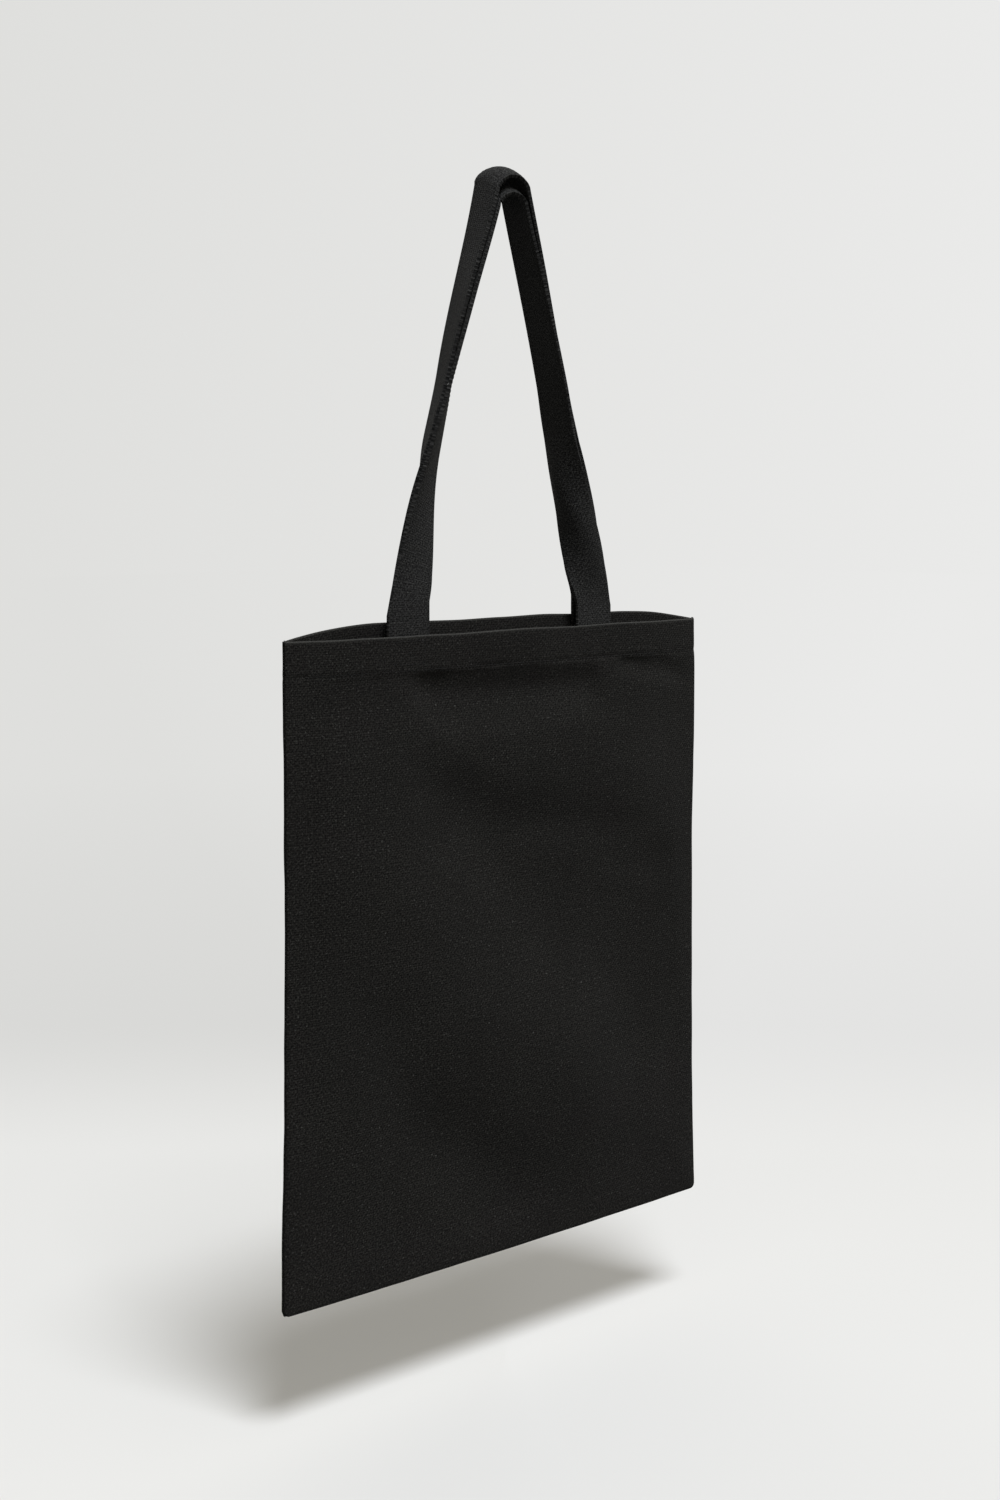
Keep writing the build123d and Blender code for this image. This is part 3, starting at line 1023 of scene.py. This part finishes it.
@dataclass
class StrapLoop:
    """One strap: two sewn tails, two turning legs and the crest over the peg, in one continuous folded strip."""

    face: Face
    bag: BagCut
    cut: StrapCut
    pitch: float = 2.0
    tail_rows: int = 14
    leg_rows: int = 90
    crest_rows: int = 20
    frames: list[StrapFrame] = field(default_factory=list)

    def __post_init__(self) -> None:
        """Work out the cross-sections from the left tail to the right one."""
        self.frames = self.route()

    @property
    def rise(self) -> float:
        """How far this strap's rim is pulled up."""
        return self.bag.rear_rise if self.face is Face.BACK else 0.0

    @property
    def fold_z(self) -> float:
        """Height of the line where the strap folds over."""
        return self.bag.rim_z + self.rise + self.cut.stand_up

    @property
    def fold_y(self) -> float:
        """Depth of that line: the strap's face on the hem."""
        return self.face.value * (self.bag.seam_depth - 2 * self.bag.canvas + self.bag.swell)

    def lean(self, side: Side) -> float:
        """How far a leg leans.

        Args:
            side: Which leg.

        Returns:
            The angle from upright, in radians.
        """
        rise = self.cut.crest_z - self.cut.radius - self.fold_z
        run = abs(self.cut.foot_x(side) - self.cut.crest_x)
        return math.atan2(run, rise) - math.asin(self.cut.radius / math.hypot(run, rise))

    def over_crest(self, angle: float) -> StrapFrame:
        """A cross-section over the crest.

        Args:
            angle: Where it lies, in radians up from the right.

        Returns:
            The cross-section.
        """
        turn = Matrix.Rotation(-math.radians(self.cut.crest_turn), 3, "Z")
        away = turn @ Vector((math.cos(angle), 0, math.sin(angle)))
        middle = Vector((self.cut.crest_x, 0, self.cut.crest_z - self.cut.radius)) + away * self.cut.radius
        return StrapFrame(middle, turn @ Vector((0, 1, 0)), away)

    def foot(self, side: Side) -> Vector:
        """Where a leg stands on the fold."""
        return Vector((self.cut.foot_x(side), self.fold_y - self.face.value * self.cut.thick / 2, self.fold_z))

    def head(self, side: Side) -> Vector:
        """Where a leg meets the crest."""
        lean = self.lean(side)
        return self.over_crest(lean if side is Side.RIGHT else math.pi - lean).middle

    def leg(self, side: Side, share: float) -> StrapFrame:
        """A cross-section of a leg.

        Args:
            side: Which leg.
            share: 0 at the fold, 1 where the crest begins.

        Returns:
            The cross-section, with its width pointing as the strap is laid from left to right.
        """
        cut = self.cut
        foot, head = self.foot(side), self.head(side)
        settled = ease(share / cut.settle)
        up = Vector((0, 0, 1)).lerp((head - foot).normalized(), settled).normalized()
        width = (Vector((1, 0, 0)) - up * up.x).normalized()
        twist = cut.right if side is Side.RIGHT else cut.left
        risen = max(share, 0.0)
        turn = -side.value * (90 + side.value * cut.crest_turn) * twist.turned(risen)
        width = Matrix.Rotation(math.radians(turn), 3, up) @ width * -side.value
        out = (up * -side.value).cross(width)
        middle = foot + (head - foot) * risen + out * twist.belly(risen)
        middle += Vector((side.value * twist.bow, twist.sway, 0)) * math.sin(math.pi * risen) ** 2
        middle.z += (head - foot).length * min(share, 0.0)
        return StrapFrame(middle, width, out, twist.cupped(risen))

    def on_strap(self, frame: StrapFrame, across: float) -> Vector:
        """A point of the strap's middle layer, which droops to its edges over the crest.

        Args:
            frame: The cross-section.
            across: The distance from the cross-section's middle.

        Returns:
            The point.
        """
        cut = self.cut
        edge = across / (cut.width / 2)
        near = ease(1 - abs(frame.along - self.frames[-1].along / 2) / cut.droop_reach)
        drop = near * (cut.droop * edge * edge - cut.droop_forward * edge)
        narrow = 1 - (2 / 3) * (frame.cup / cut.width * 2) ** 2
        hollow = frame.out * frame.cup * (edge * edge - 1 / 3)
        return frame.middle + frame.width * across * narrow + hollow - Vector((0, 0, drop))

    def tail(self, side: Side, share: float) -> StrapFrame:
        """A cross-section of a sewn tail, from 0 at its end to 1 at the fold."""
        below = (self.cut.tail + self.cut.stand_up) * (1 - share)
        return self.leg(side, -below / (self.head(side) - self.foot(side)).length)

    def route(self) -> list[StrapFrame]:
        """Follow the strap from the end of the left tail to the end of the right one.

        Returns:
            Its cross-sections.
        """
        start, end = math.pi - self.lean(Side.LEFT), self.lean(Side.RIGHT)
        tails = spaced(0, 1, 1 / self.tail_rows)[:-1]
        legs = spaced(0, 1, 1 / self.leg_rows)
        frames = [self.tail(Side.LEFT, share) for share in tails]
        frames += [self.leg(Side.LEFT, share) for share in legs]
        crest = [start + (end - start) * k / self.crest_rows for k in range(1, self.crest_rows)]
        frames += [self.over_crest(angle) for angle in crest]
        frames += [self.leg(Side.RIGHT, share) for share in reversed(legs)]
        frames += [self.tail(Side.RIGHT, share) for share in reversed(tails)]
        for before, frame in zip(frames, frames[1:]):
            frame.along = before.along + (frame.middle - before.middle).length
        return frames

    def build(self, material: Material) -> Object:
        """Make the strap.

        Args:
            material: The strap's canvas.

        Returns:
            The strap, in place of its CAD loop and tails.
        """
        half = self.cut.width / 2
        frames = self.frames

        def hang(u: float, v: float) -> Vector:
            """Place a point of the strip: u across it, v the number of its cross-section."""
            return self.on_strap(frames[round(v)], u)

        columns = spaced(-half, half, self.pitch)
        strip = flat_cut(columns, [float(k) for k in range(len(frames))], hang)
        cut = strip.loops.layers.uv[CUT_MAP]
        for face in strip.faces:
            for loop in face.loops:
                loop[cut].uv.y = frames[round(loop[cut].uv.y / MM)].along * MM
        word = self.face.word
        strap = as_object(f"{word}_strap_canvas", strip, material)
        wall = strap.modifiers.new("folded_layers", "SOLIDIFY")
        wall.thickness = self.cut.thick * MM
        wall.offset = 0.0
        edge = strap.modifiers.new("folded_edges", "BEVEL")
        edge.width = self.cut.edge_round * MM
        edge.segments = 3
        edge.limit_method = "ANGLE"
        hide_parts(f"{word}_strap", f"{word}_left_strap_tail", f"{word}_right_strap_tail")
        return self.bend(strap)

    def stitching(self, row: StitchRow) -> Object:
        """Sew the rows along both edges, on both faces.

        Args:
            row: The stitch to use.

        Returns:
            The stitching, in place of its CAD node.
        """
        offset = self.cut.width / 2 - self.cut.edge_row
        for across in (-offset, offset):
            for sign in (-1, 1):
                path = [
                    (self.on_strap(frame, across) + frame.out * sign * self.cut.thick / 2, frame.out * sign)
                    for frame in self.frames
                ]
                row.sew(path)
        word = self.face.word
        return self.bend(row.finish(f"{word}_strap_lockstitch", f"{word}_strap_stitching"))

    def bend(self, piece: Object) -> Object:
        """Bake the placement of a piece of the strap into its mesh.

        Args:
            piece: The canvas or its stitching.

        Returns:
            The piece.
        """
        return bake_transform(piece)


@dataclass
class BoxStitching:
    """The crossed box of stitches that holds a strap tail behind the hem."""

    panel: Panel
    strap: StrapLoop
    side: Side
    width: float = 26.0
    top: float = 4.0
    bottom: float = 19.0
    step: float = 0.05

    def build(self, row: StitchRow) -> Object:
        """Sew the box through the hem, outside and inside.

        Args:
            row: The stitch to use.

        Returns:
            The stitching, in place of its CAD node.
        """
        cut, face = self.panel.cut, self.panel.face
        rim = cut.rim_z + self.strap.rise
        x = self.strap.cut.foot_x(self.side)
        left, right = x - self.width / 2, x + self.width / 2
        high, low = rim - self.top, rim - self.bottom
        corners = [(left, low), (right, low), (right, high), (left, high)]
        runs = list(zip(corners, corners[1:] + corners[:1])) + [(corners[0], corners[2]), (corners[1], corners[3])]
        inner = abs(self.strap.fold_y) - self.strap.cut.thick
        for (x0, z0), (x1, z1) in runs:
            outside, inside = [], []
            for share in spaced(0, 1, self.step):
                px, pz = x0 + (x1 - x0) * share, z0 + (z1 - z0) * share
                outside.append((Vector((px, face.value * self.panel.depth(px, pz), pz)), Vector((0, face.value, 0))))
                inside.append((Vector((px, face.value * inner, pz)), Vector((0, -face.value, 0))))
            row.sew(outside)
            row.sew(inside)
        word = f"{face.word}_{self.side.word}"
        piece = row.finish(f"{word}_box_lockstitch", f"{word}_box_stitching")
        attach(piece, "bag")
        return piece


@dataclass
class SeamOverlock:
    """Raw seam edges inside the bag, wrapped by slanting overlock thread."""

    node: str
    start: Vector
    end: Vector
    into: Vector
    panel: Panel
    pitch: float = 2.4
    bite: float = 2.4
    lift: float = 0.12
    slant: float = 0.25
    over_edge: float = 0.15

    def build(self, row: StitchRow) -> Object:
        """Wrap the raw edges.

        Args:
            row: The stitch to use.

        Returns:
            The overlock, in place of its CAD node.
        """
        half = self.panel.cut.canvas + self.lift
        run = self.end - self.start
        onward = run.normalized() * self.pitch
        for share in spaced(0, 1, self.pitch / run.length):
            straight = self.start + run * share
            sunk = self.panel.droop(straight.x, straight.z - self.panel.cut.bottom_z)
            edge = Vector((self.panel.edge_x(straight.x, straight.z), 0, straight.z - sunk))
            for sign in (-1, 1):
                out = Vector((0, sign, 0))
                root = edge - self.into * self.bite + out * half
                middle = root + self.into * (self.bite / 2) + onward * self.slant
                row.bead(middle, self.into * self.bite + onward * (2 * self.slant) * sign, out)
            row.bead(edge + self.into * self.over_edge, Vector((0, 1, 0)), self.into)
        piece = row.finish(f"{self.node}_wrap", self.node)
        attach(piece, "bag")
        return piece


@dataclass
class Studio:
    """The pale floor, the soft light, the surround and the camera, all in metres."""

    floor_z: float = -0.794
    floor_half: float = 12.0
    surround: Surround = Surround()
    key_from: Triple = (-0.09, -0.43, 1.0)
    key_power: float = 2.7
    key_spread: float = 22.0
    key_tint: Triple = (1.0, 1.026, 1.083)
    shade_tint: tuple[float, float, float, float] = (1.0, 0.947, 0.828, 1.0)
    sky_light: Pair = (0.14, 0.335)
    backdrop_light: Pair = (1.0, 6.0)
    side_light: Pair = (0.55, 1.45)
    camera_place: Triple = (-1.04216, -1.10080, -0.20579)
    camera_yaw: float = 43.289
    lens: float = 53.52
    frame_shift: float = -0.1731

    def set_up(self) -> None:
        """Place everything round the bag."""
        self.floor()
        self.lights()
        self.world()
        self.camera()

    def floor(self) -> None:
        """Lay a seamless floor that runs into the surround."""
        paper = bmesh.new()
        place = Matrix.Translation((0, 0, self.floor_z))
        bmesh.ops.create_grid(paper, x_segments=4, y_segments=4, size=self.floor_half, matrix=place)
        as_object("paper_floor", paper, PaperFinish(self.surround).material())

    def lights(self) -> None:
        """Hang one soft, slightly cool light high above the front."""
        lamp = bpy.data.lights.new("overhead_softbox", "SUN")
        lamp.energy = self.key_power
        lamp.color = self.key_tint
        lamp.angle = math.radians(self.key_spread)
        holder = bpy.data.objects.new("overhead_softbox", lamp)
        holder.rotation_euler = Vector(self.key_from).to_track_quat("Z", "Y").to_euler()
        bpy.context.scene.collection.objects.link(holder)

    def world(self) -> None:
        """Surround the bag with warm pale light, stronger from above, from the right and from behind the bag."""
        world = bpy.data.worlds.new("pale_surround")
        world.use_nodes = True
        tree = world.node_tree
        toward = add_node(tree, "ShaderNodeTexCoord").outputs["Generated"]
        height = add_node(tree, "ShaderNodeSeparateXYZ", {0: toward}).outputs["Z"]
        behind = vectors(tree, "DOT_PRODUCT", toward, self.surround.backward)
        aside = vectors(tree, "DOT_PRODUCT", toward, self.surround.rightward)
        strength = ranged(tree, height, (-0.2, 1.0), self.sky_light)
        strength = maths(tree, "MULTIPLY", strength, ranged(tree, behind, (0.5, 1.0), self.backdrop_light))
        strength = maths(tree, "MULTIPLY", strength, ranged(tree, aside, (-1.0, 1.0), self.side_light))
        light = add_node(tree, "ShaderNodeBackground", {"Color": self.shade_tint, "Strength": strength}).outputs[0]
        tone = self.surround.colour(tree, toward)
        shown = add_node(tree, "ShaderNodeBackground", {"Color": tone, "Strength": 1.0}).outputs[0]
        ray = add_node(tree, "ShaderNodeLightPath").outputs
        seen = ray["Is Camera Ray"]
        for other in ("Is Glossy Ray", "Is Transmission Ray"):
            seen = maths(tree, "MAXIMUM", seen, ray[other])
        both = add_node(tree, "ShaderNodeMixShader", {0: seen, 1: light, 2: shown}).outputs[0]
        feed(tree, tree.nodes["World Output"], {"Surface": both})
        bpy.context.scene.world = world

    def camera(self) -> None:
        """Stand a level camera where the photograph was taken from."""
        data = bpy.data.cameras.new("photo_camera")
        data.lens = self.lens
        data.shift_y = self.frame_shift
        camera = bpy.data.objects.new("photo_camera", data)
        camera.location = self.camera_place
        camera.rotation_euler = (math.pi / 2, 0, -math.radians(self.camera_yaw))
        bpy.context.scene.collection.objects.link(camera)
        bpy.context.scene.camera = camera


STRAPS = {
    Face.FRONT: StrapCut(
        10.4,
        1.2,
        LegTwist(0.36, 0.394, 1.153, 2.0, -1.8, bow=4.5, sway=-0.3),
        LegTwist(0.882, 0.436, 1.0, -5.95, 2.37, bow=-1.64, cup=10.3, cup_at=0.243, cup_reach=0.269),
        left_foot=-92.0,
        right_foot=81.3,
        crest_x=-3.5,
    ),
    Face.BACK: StrapCut(
        12.0,
        12.9,
        LegTwist(0.66, 0.394, 1.195, 5.8, 2.9, bow=3.1, sway=0.4),
        LegTwist(1.0, 0.496, 1.0, -6.32, -2.37, bow=3.41, cup=10.3, cup_at=0.262, cup_reach=0.35),
        left_foot=-83.0,
        right_foot=84.3,
        crest_x=-3.2,
    ),
}
FOLDS = {
    Face.FRONT: (
        SoftFold(((-79, -333), (-16, -337), (72, -340), (62, -342)), -1.8, 17),
        SoftFold(((-69, -341), (-53, -349), (73, -345)), -2.8, 26),
        SoftFold(((-147, -382), (16, -387), (118, -404)), 1.9, 47),
        SoftFold(((-74, -396), (-5, -433), (64, -439), (146, -470)), -1.9, 31),
        SoftFold(((-109, -453), (-84, -479), (-38, -552), (57, -615)), 5.2, 84),
        SoftFold(((-106, -557), (-86, -617), (1, -682)), -2.5, 43),
        SoftFold(((-40, -438), (122, -540), (122, -592)), -2.6, 73),
        SoftFold(((112, -329), (150, -334), (186, -343)), -1.9, 13),
        SoftFold(((-181, -343), (-100, -326)), -0.8, 32),
        SoftFold(((-61, -432), (-11, -460)), -1.0, 28),
        SoftFold(((4, -447), (158, -461)), 0.5, 19),
        SoftFold(((96, -524), (153, -647)), -1.6, 89),
        SoftFold(((-155, -415), (-187, -519)), 1.1, 81),
        SoftFold(((-150, -641), (25, -670)), -1.7, 90),
        SoftFold(((61, -364), (184, -465)), 1.2, 63),
    ),
    Face.BACK: (
        SoftFold(((-92, -330), (0, -334), (90, -331)), -1.6, 14),
        SoftFold(((80, -360), (0, -395), (-70, -400)), 1.6, 34),
        SoftFold(((95, -500), (30, -560), (-60, -620)), 2.2, 60),
    ),
}


def overlocks(bag: BagCut, panel: Panel) -> list[SeamOverlock]:
    """The overlocked seams inside the bag: left, right and bottom.

    Args:
        bag: The bag's sizes.
        panel: A panel whose edges the seams follow; both have the same.

    Returns:
        The seams, still to be sewn.
    """
    edge, bottom = bag.half - bag.allowance, bag.bottom_z + bag.allowance
    low, high = bottom + bag.clearance, bag.rim_z - bag.hem - bag.clearance
    seams = []
    for side in Side:
        start, end = (Vector((side.value * edge, 0, z)) for z in (low, high))
        seams.append(SeamOverlock(f"{side.word}_seam_overlock", start, end, Vector((-side.value, 0, 0)), panel))
    start, end = (Vector((x, 0, bottom)) for x in (bag.clearance - edge, edge - bag.clearance))
    seams.append(SeamOverlock("bottom_seam_overlock", start, end, Vector((0, 0, 1)), panel))
    return seams


def main() -> None:
    """Build the bag piece by piece, then the studio."""
    logging.basicConfig(level=logging.INFO)
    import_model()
    bpy.context.scene.view_settings.view_transform = "Standard"
    bag = BagCut()
    canvas = CanvasFinish("black_cotton_canvas", worn_line_mm=bag.height + RIM_HIGHLIGHT_LINE).material()
    strap_canvas = CanvasFinish("black_strap_canvas", gap="#151515", yarn="#434342").material()
    row = StitchRow(ThreadFinish().material())
    pieces: list[Object] = []
    for face in Face:
        panel = Panel(face, bag, FOLDS[face], seed=NOISE_SEED * face.value)
        strap = StrapLoop(face, bag, STRAPS[face])
        pieces.append(panel.build(canvas))
        pieces.append(panel.hem_stitching(row))
        pieces.append(strap.build(strap_canvas))
        pieces.append(strap.stitching(row))
        pieces += [BoxStitching(panel, strap, side).build(row) for side in Side]
    pieces += [seam.build(row) for seam in overlocks(bag, panel)]
    for piece in pieces:
        LOG.info("%s: %d faces", piece.name, len(piece.data.polygons))
    Studio().set_up()


if __name__ == "__main__":
    main()
